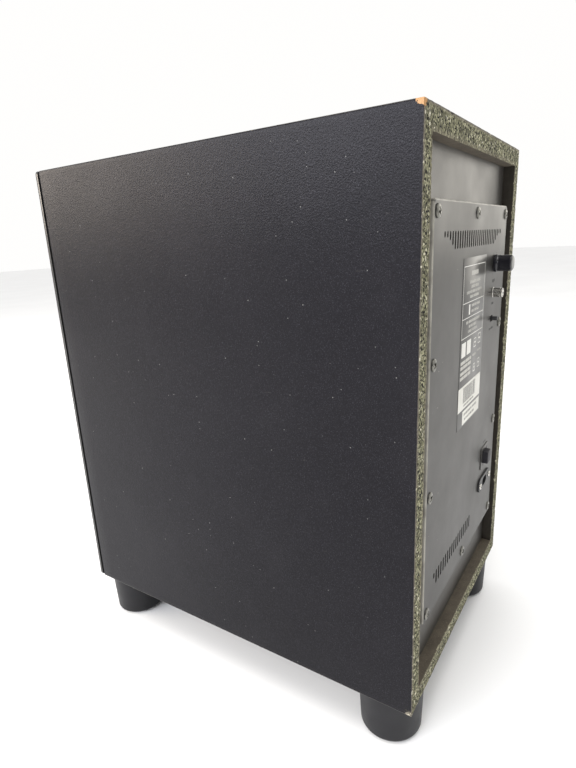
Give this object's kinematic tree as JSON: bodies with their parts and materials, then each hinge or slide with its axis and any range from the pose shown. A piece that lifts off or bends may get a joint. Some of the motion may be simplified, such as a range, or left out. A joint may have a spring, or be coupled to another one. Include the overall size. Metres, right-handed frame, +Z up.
{
  "type": "powered subwoofer",
  "caption": "Free-standing powered subwoofer: vinyl-wrapped cabinet on round feet, plate amplifier with level knob and inputs at the back, woofer and port behind a pull-off grille.",
  "frame": {"origin": "centre of the whole footprint, on the surface the feet stand on", "axes": "+Z up (longest), +X across the cabinet (shortest), to the left when facing the amplifier; +Y out of the amplifier plate, the grille faces -Y"},
  "size_m": [0.263, 0.3744, 0.4635],
  "materials": {
    "black_vinyl": "satin embossed film",
    "chipboard": "raw pressed wood particles",
    "black_board": "black painted board",
    "black_plastic": "satin moulded",
    "gloss_black_plastic": "glossy moulded",
    "black_rubber": "matte",
    "grille_fabric": "open knit",
    "wadding_fibre": "loose fibre",
    "painted_steel": "black satin powder coat",
    "zinc_steel": "zinc plated",
    "black_screws": "black oxide",
    "label_film": "glossy printed film",
    "nickel": "nickel plated",
    "white_plastic": "moulded",
    "paper_cone": "coated paper pulp",
    "ferrite": "sintered",
    "kapton": "film",
    "copper_wire": "enamelled winding",
    "spider_cloth": "resin-dipped weave",
    "circuit_board": "solder mask",
    "aluminium": "extruded",
    "laminations": "varnished laminations",
    "red_insulation": "cable sheath",
    "black_insulation": "cable sheath",
    "capacitor_sleeve": "shrink sleeve",
    "board_brown": "phenolic board"
  },
  "bodies": {
    "cabinet": {"amp_back_cover": "zinc_steel", "amp_gasket": "black_rubber", "amp_plate": "painted_steel", "amp_plate_screws": "black_screws", "battens": "chipboard", "bottom_panel": "chipboard", "cable_grommet": "black_rubber", "capacitors": "capacitor_sleeve", "damping_wadding": "wadding_fibre", "feet": "black_plastic", "foot_pads": "black_rubber", "front_baffle": "black_board", "grille_cups": "black_rubber", "heatsink": "aluminium", "input_jack_contact": "nickel", "input_jack_insulator": "white_plastic", "input_jack_shell": "nickel", "level_pot": "zinc_steel", "magnet": "ferrite", "magnet_yoke": "zinc_steel", "main_board": "circuit_board", "mains_inlet_body": "black_plastic", "mains_inlet_pins": "nickel", "mains_inlet_screws": "nickel", "phase_switch_body": "black_plastic", "plate_labels": "label_film", "port_tube": "black_plastic", "power_switch_bezel": "black_plastic", "power_switch_body": "black_plastic", "rear_panel": "black_board", "side_panel_left": "chipboard", "side_panel_right": "chipboard", "speaker_connectors": "white_plastic", "speaker_lead_black": "black_insulation", "speaker_lead_red": "red_insulation", "spider": "spider_cloth", "standoffs": "zinc_steel", "surround": "black_rubber", "terminal_strip": "board_brown", "tinsel_leads": "copper_wire", "top_panel": "chipboard", "top_plate": "zinc_steel", "transformer_bracket": "zinc_steel", "transformer_core": "laminations", "transformer_winding": "copper_wire", "transistors": "black_plastic", "vinyl_wrap": "black_vinyl", "wood_screws": "black_screws", "woofer_basket": "painted_steel", "woofer_gasket": "black_rubber"},
    "grille": {"grille_frame": "black_plastic", "grille_cloth": "grille_fabric"},
    "cone": {"woofer_cone": "paper_cone", "dust_cap": "paper_cone", "voice_coil_former": "kapton", "voice_coil": "copper_wire"},
    "level_control": {"level_knob": "gloss_black_plastic", "level_shaft": "aluminium"},
    "phase_lever": {"phase_switch_lever": "black_plastic"},
    "power_key": {"power_button": "gloss_black_plastic"}
  },
  "joints": [
    {"name": "grille_pull", "type": "slide", "parent": "cabinet", "child": "grille", "axis": [0, -1, 0], "range_m": [0, 0.06]},
    {"name": "cone_stroke", "type": "slide", "parent": "cabinet", "child": "cone", "axis": [0, -1, 0], "range_m": [-0.008, 0.008], "stiffness_N_per_m": 2000, "deforming": ["surround", "spider", "tinsel_leads"]},
    {"name": "level_turn", "type": "hinge", "parent": "cabinet", "child": "level_control", "pos_m": [-0.065, 0.17145, 0.3645], "axis": [0, 1, 0], "range_deg": [-150, 150]},
    {"name": "phase_slide", "type": "slide", "parent": "cabinet", "child": "phase_lever", "axis": [1, 0, 0], "range_m": [0, 0.0034]},
    {"name": "power_press", "type": "slide", "parent": "cabinet", "child": "power_key", "axis": [0, -1, 0], "range_m": [0, 0.003], "stiffness_N_per_m": 600, "springref_m": -0.0015}
  ]
}
